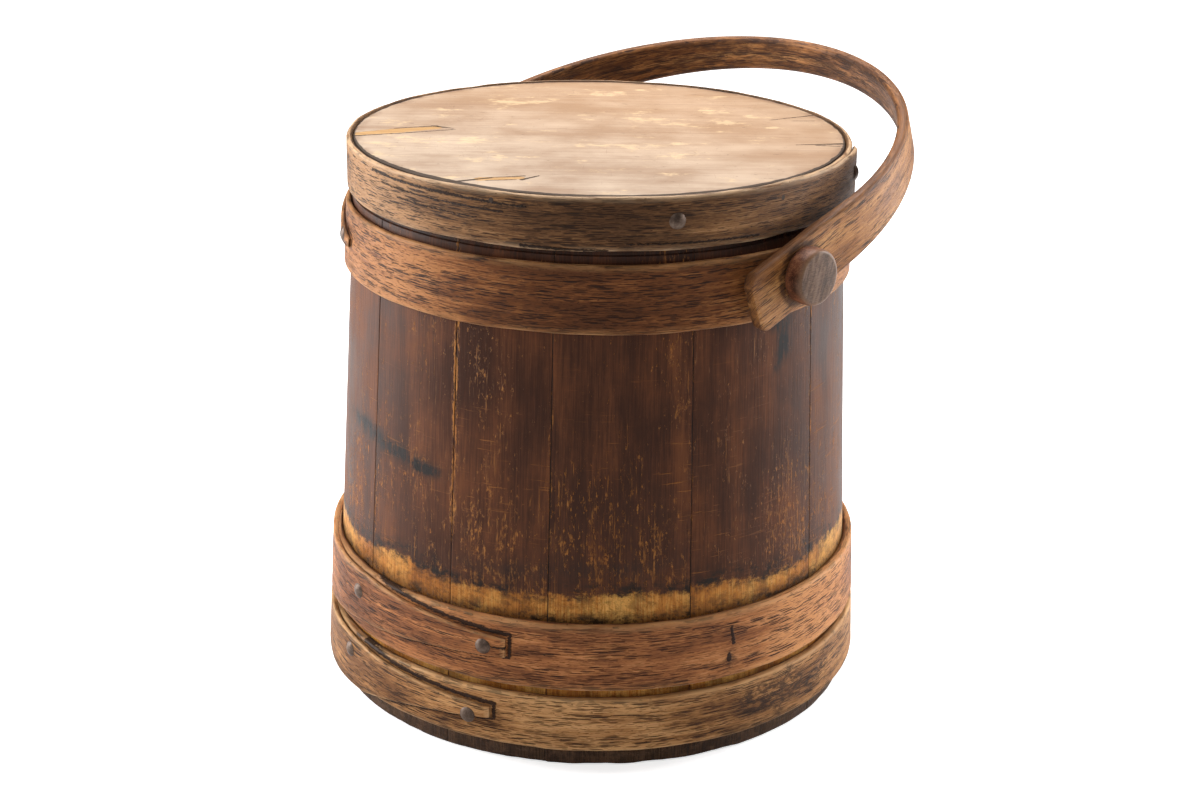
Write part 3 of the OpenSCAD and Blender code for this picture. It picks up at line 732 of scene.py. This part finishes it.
def make_stave(i):
    """The stave between one seam and the next."""
    name = "stave_%02d" % (i + 1)
    profile, outer_count = stave_profile()
    a0, a1 = math.radians(SEAMS[i] + SEAM_GAP), math.radians(SEAMS[i + 1] - SEAM_GAP)
    steps = arc_stations(SEAMS[i] + SEAM_GAP, SEAMS[i + 1] - SEAM_GAP, FOOT_R)
    n, k = len(steps), len(profile)
    az = np.repeat(a0 + steps, k)
    r = np.tile(profile[:, 0], n)
    z = np.tile(profile[:, 1], n)
    outer = np.tile(np.arange(k) < outer_count, n)
    across = np.repeat(steps, k) * FOOT_R
    gap = np.minimum(across, (a1 - a0) * FOOT_R - across)
    where = rows_of(np.cos(az) * BAND_R, np.sin(az) * BAND_R, z)
    # rounded edges at the joints, hand-shaved hollows, and a worn and chipped foot
    dent = 0.25 * MM * (1.0 - smooth(0.0, 0.4 * MM, gap))
    dent = dent + 0.22 * MM * (fbm(where * (26, 26, 9), 3 + i) * 0.5 + 0.5)
    notch = fbm(rows_of(az * 9, z * 140, z * 0), 40, 3)
    dent = dent + (1.0 - smooth(1.0 * MM, 11.0 * MM, z)) * (0.7 + 0.4 * np.clip(notch, 0, 1)) * MM
    r = np.where(outer, r - dent, r + 0.15 * MM * fbm(where * (30, 30, 12), 90 + i))
    chips = fbm(rows_of(az * 8, az * 0, z * 0), 61, 4)
    height = z + (1.0 - smooth(0.0, 3.0 * MM, z)) * np.clip(chips, 0, 1) * 0.7 * MM
    points = rows_of(r * np.cos(az), r * np.sin(az), height)
    grain = rows_of(z, az * FOOT_R + i * 0.7, r)
    near_side = np.where(across < (a1 - a0) * FOOT_R / 2, SEAM_WEAR[i], SEAM_WEAR[i + 1])
    wear = (1.0 - smooth(0.3 * MM, 3.6 * MM, gap)) * near_side * smooth(0.105, 0.125, z)
    wear = np.where(outer, wear, 0.0)
    dirt = (1.0 - smooth(6 * MM, 12 * MM, z)) * 0.35
    dirt = np.maximum(dirt, smooth(SHAVE_Z - 4 * MM, SHAVE_Z, z) * 0.6)
    dirt = np.maximum(dirt, 1.0 - smooth(0.05 * MM, 0.35 * MM, gap))
    dirt = np.maximum(dirt, stain_field(np.degrees(az), z) * outer)
    special = np.where(outer, 0.0, 1.0)
    marks = rows_of(wear, dirt, special)
    faces = loft_faces(n, k)
    add_piece(name + "_worn", points, faces, grain, marks, PAINT, "pail", [name], 50)


# Dark marks on the paint: strength, angle, height in mm, and their spread in degrees and in mm
STAINS = (
    (1.6, -106, 155, 8, 4), (1.9, -94, 151, 8, 3.6), (1.7, -83, 147, 5, 3),  # the scuffed ring
    (2.2, 1.0, 212, 1.7, 7), (1.5, 0, 224, 3.4, 4), (1.2, -1.2, 203, 0.9, 4),  # under the bail's end
    (0.5, -40, 108, 16, 5), (0.4, -64, 104, 14, 4),  # soot above the middle hoop
    (0.5, 150, 120, 12, 9), (0.5, 95, 190, 9, 6),  # round the back
)


def stain_field(az, z):
    """How strongly the paint is stained at angles az (in degrees) and heights z."""
    total = 0.0
    for amount, angle, height, wide, high in STAINS:
        turn = (az - angle + 180.0) % 360.0 - 180.0
        total = total + amount * np.exp(-(turn / wide) ** 2 - ((z / MM - height) / high) ** 2)
    return np.clip(total, 0, 2)


for index in range(len(SEAMS) - 1):
    make_stave(index)


# ---- lapped bands

def make_band(node, inner_r, thick, tip, lap, edges_at, material, body, seed, top_round, soot_and_shade,
              rim_rub, light_and_shade_places):
    """One long strip bent round the pail at the CAD node's height. lap says where the strip starts,
    between which angles it climbs over its own start and how far out; it ends at tip. edges_at gives
    its low and high edge at an angle. Its soot argument gives painted shade towards its low edge and a
    cloud of soot. The last argument lists lighter and darker places round the pail: painted light and
    painted shade."""
    z0, z1 = span(node)
    start, rise_from, rise_to, lift = lap
    end = tip + 360.0
    count = int((end - start) / 1.1)
    theta = np.linspace(start, end, count)
    width = z1 - z0
    section = rounded_section(thick, width, top_round * MM, 4)
    k = len(section)
    edge = edge_mark(section, thick, width)
    up = np.tile(section[:, 1] / (width / 2), count)
    out = np.tile(section[:, 0], count)
    th = np.repeat(theta, k)
    climb = smooth(rise_from + 360.0, rise_to + 360.0, theta)
    feather = smooth(start, start + 16.0, theta)
    lows, highs = np.array([edges_at(t - 360.0) for t in theta]).T
    lo = np.repeat(np.maximum(lows, z0), k)
    hi = np.repeat(np.minimum(highs, z1), k)
    # the wandering of the strip's two edges and the unevenness of its face
    ring = rows_of(np.cos(np.radians(th)) * 2.0, np.sin(np.radians(th)) * 2.0, th * 0)
    wobble = fbm(ring * 3.1, seed, 3) * BAND_WAVE
    rim = np.abs(up) ** 6
    mid = (lo + hi) / 2
    z = mid + up * ((hi - lo) / 2 - 0.35 * MM) + wobble * rim * 0.6
    lap_t = np.repeat(thick + (lift - thick) * climb, k)
    slim = np.repeat(0.35 + 0.65 * feather, k)
    center = inner_r(z) + thick * 0.5 * slim + np.repeat(climb, k) * (thick * 0.5 + lift * 0.5)
    face = fbm(rows_of(ring[:, 0] * 4, ring[:, 1] * 4, z * 60), seed + 5, 3)
    hollow = np.where(out > 0, 0.12 * MM + 0.16 * MM * np.abs(face), 0.0)
    r = center + out * slim * (lap_t / thick) - hollow
    tip_gap = np.radians(end - th) * TIP_R
    r = r - np.where(out > 0, (1.0 - smooth(0.0, 2.2 * MM, tip_gap)) * 0.8 * MM, 0.0)
    points = rows_of(r * np.cos(np.radians(th)), r * np.sin(np.radians(th)), z)
    grain = rows_of(np.radians(th) * BAND_R, z, r)
    wear = np.tile(edge, count) * (0.55 + 0.45 * np.clip(fbm(ring * 5.0, seed + 9, 2) + 0.5, 0, 1))
    wear = np.maximum(wear, 1.0 - smooth(0.0, 3.0 * MM, tip_gap))
    # painted shade darkening the strip towards its low edge, and a cloud of soot
    cloud = np.clip(fbm(ring * 1.7 + z[:, None] * 20, seed + 3, 3) + 0.35, 0, 1)
    dirt = soot_and_shade[0] * (1.0 - smooth(-1.0, 1.0, up)) + soot_and_shade[1] * cloud
    # a pale rubbed upper rim on the outside with painted gap shade on its inside corner
    crest = smooth(0.86, 0.95, up)
    wear = np.maximum(wear, crest * rim_rub)
    inner_gap_shade = crest * (1.0 - smooth(-0.35, -0.05, out / thick)) * 1.5
    dirt = np.maximum(dirt, inner_gap_shade)
    wear = wear * (1.0 - np.clip(inner_gap_shade, 0, 1))
    # lighter and darker places round the pail: painted light and painted shade
    painted_light_and_shade = up * 0
    for place, wide, amount in light_and_shade_places:
        turn = (th - place + 180.0) % 360.0 - 180.0
        painted_light_and_shade = painted_light_and_shade + amount * np.exp(-(turn / wide) ** 2)
    marks = rows_of(wear, np.clip(dirt, 0, 1.5), painted_light_and_shade)
    add_piece(node + "_strip", points, loft_faces(count, k), grain, marks, material, body, [node])


def hoop_inside(z):
    """A hoop's inside radius at a height: it sits just off the staves."""
    return body_r(z) + 0.1 * MM


def lid_band_inside(z):
    """The lid band's inside radius, the same at every height."""
    return LID_BAND_R + z * 0


def lid_band_edges(angle):
    """The lid band's low and high edge, the same all the way round."""
    return LID_BAND_SPAN


# For each hoop: thickness, tongue, lap, wood, slot, seed, rounding, soot with painted shade at the low
# edge, and lighter and darker places of painted light and shade
HOOPS = {
    "hoop_top": (3.3 * MM, TONGUE_A, (-186.0, -184.0, -150.0, 2.4 * MM), HOOP_TOP_WOOD, "hoop_top_wood",
                 11, 1.3, (0.15, 0.35), ((-100, 26, 0.7), (-42, 24, -0.5), (12, 22, 1.0))),
    "hoop_middle": (5.1 * MM, TONGUE_B, (-132.0, -130.0, -104.0, 2.95 * MM), HOOP_MID_WOOD, "hoop_low_wood",
                    23, 1.5, (0.2, 0.35), ((8, 20, 0.9), (-100, 16, -0.6))),
    "hoop_bottom": (5.1 * MM, TONGUE_C, (-132.0, -130.0, -106.0, 2.95 * MM), HOOP_LOW_WOOD, "hoop_low_wood",
                    37, 1.5, (0.25, 0.3), ((-45, 18, 0.5), (-100, 16, -0.4))),
}
for hoop, (thick, shape, lap, wood, slot, seed, rounding, soot_and_shade, light_and_shade_places) in HOOPS.items():
    edges_at = tongue(shape, *span(hoop))
    make_band(hoop, hoop_inside, thick, shape[0], lap, edges_at, wood, "pail", seed, rounding, soot_and_shade,
              0.6, light_and_shade_places)

LID_BAND_R = 129.0 * MM
LID_BAND_SPAN = span("lid_band")
LID_TIP = 37.0
LID_LAP = (2.0, 4.0, 36.0, 2.9 * MM)
# the lid band: soot with painted shade at its low edge, a painted highlight on its left and painted shade
# at its front
make_band("lid_band", lid_band_inside, 3.2 * MM, LID_TIP, LID_LAP, lid_band_edges, LID_BAND_WOOD,
          "lid", 51, 1.4, (0.25, 0.45), 1.0, ((-105, 22, 1.1), (-40, 20, -0.35)))


# ---- lid board

GRAIN_AZ = math.radians(VIEW_AZ)


def make_lid_board():
    """The round board, dished a little and worn, with its grain along the view direction."""
    low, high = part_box("lid_board")
    rim = high[0] - 0.1 * MM
    top, under = high[2], low[2]
    rings = [(0.6 * MM + (rim - 1.2 * MM) * t, top) for t in np.linspace(0, 1, 118)]
    rings += [(rim - 0.9 * MM, top - 0.25 * MM), (rim - 0.3 * MM, top - 0.8 * MM), (rim, top - 1.8 * MM)]
    top_count = len(rings)
    rings += [(rim, under + 1.0 * MM), (rim - 0.8 * MM, under)]
    rings += [(rim * t, under) for t in (0.8, 0.5, 0.2, 0.005)]
    prof = np.array(rings)
    n, k = 420, len(prof)
    az = np.repeat(np.linspace(0, 2 * math.pi, n, endpoint=False), k)
    r, z = np.tile(prof[:, 0], n), np.tile(prof[:, 1], n)
    x, y = r * np.cos(az), r * np.sin(az)
    along = (x * math.cos(GRAIN_AZ) + y * math.sin(GRAIN_AZ)) / MM
    across = (-x * math.sin(GRAIN_AZ) + y * math.cos(GRAIN_AZ)) / MM
    upper = np.tile(np.arange(k) < top_count, n)
    shallow = fbm(rows_of(along * 0.012, across * 0.03, along * 0), 71, 3)
    ridges = fbm(rows_of(along * 0.05, across * 0.5, along * 0), 72, 2)
    drop = 0.25 * (shallow * 0.5 + 0.5) + 0.06 * ridges
    z = z - np.where(upper, drop * MM, 0.0)
    ring_gap = np.where(upper, rim - r, LID_MARK)
    edge = np.where(upper, 1.0 - smooth(1.0 * MM, 7.0 * MM, ring_gap), 0.3)
    # the painted gap shadow at the rim reaches further on the side facing the camera and at the chipped
    # front left
    front = np.clip(np.cos(az - math.radians(VIEW_AZ - 90.0)), 0.0, 1.0)
    left = (az + math.pi) % (2 * math.pi) - math.pi - math.radians(-84.0)
    rim_shadow_reach = (1.1 + 3.0 * front + 1.8 * np.exp(-(left / math.radians(17.0)) ** 2)) * MM
    points = rows_of(x, y, z)
    grain = rows_of(along * MM, across * MM, z)
    marks = rows_of(edge, rim_shadow_reach / LID_MARK, ring_gap / LID_MARK)
    faces = [face[::-1] for face in turned_faces(n, k)]
    add_piece("lid_board_worn", points, faces, grain, marks, LID_WOOD, "lid",
              ["lid_board"], 60)


make_lid_board()


# ---- bail

def bail_width(u):
    """The bail's width at height u above the pegs, in the plane of its lean."""
    crown = BAIL_LEG + BAIL_R + BAIL_T / 2
    start = BAIL_LEG - 20 * MM
    t = min(max((u - start) / (crown + 1 * MM - start), 0.0), 1.0)
    return LEG_WIDTH + (CROWN_WIDTH - LEG_WIDTH) * t


def make_bail():
    """The bent bail: a leg, the half ring over the lid and the other leg, leaning back at rest."""
    leg = list(np.linspace(-BAIL_TAIL + 0.2 * MM, -BAIL_TAIL + 6.5 * MM, 9))
    leg += list(np.linspace(-BAIL_TAIL + 9 * MM, BAIL_LEG, 26))
    path = [((BAIL_R, u), (1.0, 0.0), u) for u in leg]
    for deg in np.linspace(0, 180, 132)[1:-1]:
        a = math.radians(deg)
        path.append(((BAIL_R * math.cos(a), BAIL_LEG + BAIL_R * math.sin(a)), (math.cos(a), math.sin(a)),
                     BAIL_LEG + BAIL_R * a))
    full = 2 * BAIL_LEG + BAIL_R * math.pi
    path += [((-BAIL_R, u), (-1.0, 0.0), full - u) for u in reversed(leg)]
    lean = math.radians(LEAN)
    points, grain, marks = [], [], []
    for (px, pu), (nx, nu), s in path:
        width = bail_width(pu)
        tail = min(pu + BAIL_TAIL, 6.5 * MM)
        if pu < 0 and tail < TAIL_CORNER:
            cut = math.sqrt(max(TAIL_CORNER ** 2 - (TAIL_CORNER - tail) ** 2, 0.0))
            width = width - 2 * (TAIL_CORNER - cut)
        rounding = (1.5 + 1.3 * smooth(0.0, 0.12, pu)) * MM
        thick = BAIL_T - (0.7 * MM if pu < -BAIL_TAIL + 1.5 * MM else 0.0)
        section = rounded_section(thick, width, min(rounding, 2.9 * MM), 5)
        wear = edge_mark(section, thick, width, 0.003)
        for (out, up), w in zip(section, wear):
            wave = 0.25 * MM * math.sin(s * 21.0 + up * 60.0) + 0.15 * MM * math.sin(s * 57.0 + 1.3)
            squeeze = out * 0.97 + (0.0 if out <= 0 else -0.1 * MM + 0.3 * min(wave, 0.0))
            x = px + nx * squeeze
            u = pu + nu * squeeze
            v = up * (1 - 0.012) + (wave * 0.5 if abs(up) > width * 0.4 else 0.0) * 0.4 - BAIL_OFF
            back = v * math.cos(lean) + u * math.sin(lean)
            rise = u * math.cos(lean) - v * math.sin(lean)
            points.append((x, back, PEG_Z + rise))
            grain.append((s, up, out))
            inside = 1.0 if out < -thick * 0.3 else 0.0
            marks.append((w * (0.35 if inside else 1.0), 0.55 * inside + 0.12, 0.0))
    pts = np.array(points)
    mk = np.array(marks)
    blot = fbm(pts * (22, 22, 22), 131, 3)
    mk[:, 1] = np.clip(mk[:, 1] + 0.25 * np.clip(blot, 0, 1), 0, 1)
    # a dark ring on the bail round each peg head: soot and painted shade where the head meets it
    peg_gap = np.hypot(pts[:, 1], pts[:, 2] - PEG_Z)
    ring = np.exp(-((peg_gap - 15.0 * MM) / (2.2 * MM)) ** 2)
    mk[:, 1] = np.clip(mk[:, 1] + 0.75 * ring, 0, 1)
    faces = loft_faces(len(path), len(section))
    add_piece("bail_bent", pts, faces, np.array(grain), mk, HANDLE_WOOD, "bail",
              ["handle"], 50)


make_bail()


# ---- pegs and tacks

def lathe(profile, steps):
    """A turned shape round local Z from (radius, height, mark) rows, capped at both ends; returns its
    points, faces, marks and the points' angles."""
    rows = np.array(profile)
    k = len(rows)
    ang = np.repeat(np.linspace(0, 2 * math.pi, steps, endpoint=False), k)
    r, h = np.tile(rows[:, 0], steps), np.tile(rows[:, 1], steps)
    pts = rows_of(r * np.cos(ang), r * np.sin(ang), h)
    return pts, turned_faces(steps, k), np.tile(rows[:, 2], steps), ang


def make_peg(side, node):
    """A turned peg with a domed head; side is 1 for the peg at +X and -1 for the one at -X."""
    low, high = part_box(node)
    face = max(abs(low[0]), abs(high[0]))
    inner = min(abs(low[0]), abs(high[0]))
    back = face - 10.8 * MM
    big = (high[2] - low[2]) / 2
    rows = [(3.0 * MM, inner, 0), (6.1 * MM, inner + 0.1 * MM, 0), (6.45 * MM, inner + 1.2 * MM, 0)]
    rows += [(6.45 * MM, z, 0) for z in np.linspace(inner + 3 * MM, back - 0.2 * MM, 8)]
    # the head's side: mm in from its largest radius and mm from its back, then mm from its face
    side_rows = ((2.2, 0.05), (0.9, 0.4), (0.25, 1.3), (0.05, 2.8), (0.05, 5.0), (0.15, 6.6))
    face_rows = ((0.3, 2.6, 0), (0.5, 1.7, 0.1), (0.85, 1.0, 0.4), (1.35, 0.6, 0.8), (2.2, 0.4, 1.0))
    rows += [(big - inset * MM, back + h * MM, 0) for inset, h in side_rows]
    rows += [(big - inset * MM, face - h * MM, mark) for inset, h, mark in face_rows]
    for t in (0.80, 0.68, 0.52, 0.38, 0.24, 0.1, 0.01):
        rows.append((big * t, face - 0.45 * MM + 0.4 * MM * (1 - (t / 0.84) ** 2), 1.0))
    pts, faces, mark, ang = lathe(rows, 64)
    r = np.hypot(pts[:, 0], pts[:, 1])
    squash = 1.0 - 0.012 * (1 + np.cos(2 * ang + 0.8)) * (r > 8 * MM)
    pts[:, 0] *= squash
    pts[:, 1] *= squash
    dent = np.clip(fbm(pts * (140, 140, 140), 150 + side, 3), -1, 1) * 0.12 * MM
    pts[:, 2] -= np.where(pts[:, 2] > face - 1.5 * MM, np.abs(dent), 0.0)
    turned = rows_of(side * pts[:, 2], pts[:, 1], -side * pts[:, 0] + PEG_Z)
    grain = rows_of(pts[:, 1] + 0.3 * pts[:, 0], pts[:, 0], pts[:, 2])
    # the lighter ring at the rounded rim of the face: edge wear and painted highlight
    rim = np.exp(-((r - (big - 1.1 * MM)) / (0.9 * MM)) ** 2) * (pts[:, 2] > face - 3 * MM)
    # darker at the back of the head, where it meets the bail: soot and painted shade
    soot_and_shade = (1 - smooth(back, back + 1.5 * MM, pts[:, 2])) * 0.9
    marks = rows_of(rim, soot_and_shade, mark)
    add_piece(node + "_turned", turned, faces, grain, marks, PEG_WOOD, "pail", [node], 40)


make_peg(1, "handle_peg_right")
make_peg(-1, "handle_peg_left")

# Parts that keep their CAD shape
PLAIN = {
    "peg_pin_right": PIN_WOOD, "peg_pin_left": PIN_WOOD, "bottom_board": BOTTOM_WOOD,
    "hoop_top_tacks": TACK_METAL, "hoop_middle_tacks": TACK_METAL, "hoop_bottom_tacks": TACK_METAL,
    "lid_band_tacks": TACK_METAL, "lid_brads": BRAD_IRON,
}
for node_name, material in PLAIN.items():
    for slot in frame["nodes"][node_name].material_slots:
        slot.material = material


# ---- stage, light and camera

# Turns and tilt in degrees, the lens in mm, and the place in the view's own frame
CAMERA_YAW = 0.149
CAMERA_PITCH = 20.54
CAMERA_ROLL = 1.046
CAMERA_LENS = 63.28
CAMERA_PLACE = (0.0, -1.0854, 0.5527)
FLOOR_HALF = 8.0
FLOOR_FADE = (0.35, 1.3, 0.66, 1.0)  # nearer and farther distance, and the glow at each
WORLD_LIGHT = 0.14


def make_floor():
    """A pale floor that glows to the camera more with distance, so that it meets the white world."""
    mesh = bpy.data.meshes.new("floor")
    corners = [(x * FLOOR_HALF, y * FLOOR_HALF, 0) for x, y in ((-1, -1), (1, -1), (1, 1), (-1, 1))]
    mesh.from_pydata(corners, [], [(0, 1, 2, 3)])
    s = Shade("pale_floor")
    away = s.node("VectorMath", s.node("TexCoord").outputs["Object"], operation="LENGTH").outputs["Value"]
    fade = s.node("MapRange", away, *FLOOR_FADE).outputs[0]
    glow = s.mul(s.node("LightPath").outputs["Is Camera Ray"], fade)
    s.put(s.bsdf.inputs["Base Color"], (0.85, 0.85, 0.85))
    s.put(s.bsdf.inputs["Roughness"], 0.9)
    s.put(s.bsdf.inputs["Emission Color"], (1.0, 1.0, 1.0))
    s.put(s.bsdf.inputs["Emission Strength"], glow)
    mesh.materials.append(s.mat)
    new_object("floor", mesh)


def make_camera():
    """The camera that saw the photo."""
    turn = Matrix.Rotation(math.radians(VIEW_AZ), 3, "Z")
    yaw, pitch, roll = math.radians(CAMERA_YAW), math.radians(CAMERA_PITCH), math.radians(CAMERA_ROLL)
    level = math.cos(pitch)
    ahead = turn @ Vector((math.sin(yaw) * level, math.cos(yaw) * level, -math.sin(pitch)))
    side = ahead.cross(Vector((0, 0, 1))).normalized()
    above = side.cross(ahead)
    right = side * math.cos(roll) + above * math.sin(roll)
    up = above * math.cos(roll) - side * math.sin(roll)
    data = bpy.data.cameras.new("camera")
    data.lens = CAMERA_LENS
    data.sensor_width = 36.0
    data.clip_start = 0.05
    data.clip_end = 50.0
    cam = new_object("camera", data)
    rot = Matrix((right, up, -ahead)).transposed()
    cam.matrix_world = Matrix.Translation(turn @ Vector(CAMERA_PLACE)) @ rot.to_4x4()
    bpy.context.scene.camera = cam


def make_light(name, place, target, size, power):
    """A white area light; place and target are in the view's frame: right, away from the camera, up."""
    turn = Matrix.Rotation(math.radians(VIEW_AZ), 3, "Z")
    data = bpy.data.lights.new(name, "AREA")
    data.shape = "RECTANGLE"
    data.size, data.size_y = size
    data.energy = power
    lamp = new_object(name, data)
    at, to = turn @ Vector(place), turn @ Vector(target)
    lamp.matrix_world = Matrix.Translation(at) @ (to - at).to_track_quat("-Z", "Y").to_matrix().to_4x4()


make_floor()
make_camera()
make_light("softbox_left", (-1.3, 0.25, 0.5), (0, 0, 0.16), (0.7, 1.3), 34)
make_light("softbox_right", (1.35, 0.45, 0.5), (0, 0, 0.16), (0.7, 1.3), 30)
make_light("softbox_top", (0.0, 0.5, 1.35), (0, 0, 0.25), (1.1, 0.9), 26)
make_light("softbox_front", (-0.5, -1.7, 1.5), (0, 0, 0.12), (1.2, 0.8), 9)

world = bpy.data.worlds.new("studio")
bpy.context.scene.world = world
world.use_nodes = True
world.node_tree.nodes["Background"].inputs[0].default_value = (1, 1, 1, 1)
# white where the camera sees it, dim as a light
world_ray = world.node_tree.nodes.new("ShaderNodeLightPath")
world_glow = world.node_tree.nodes.new("ShaderNodeMapRange")
world_glow.inputs[3].default_value = WORLD_LIGHT
world_glow.inputs[4].default_value = 1.0
world.node_tree.links.new(world_ray.outputs["Is Camera Ray"], world_glow.inputs[0])
world.node_tree.links.new(world_glow.outputs[0], world.node_tree.nodes["Background"].inputs[1])
bpy.context.scene.view_settings.view_transform = "Standard"
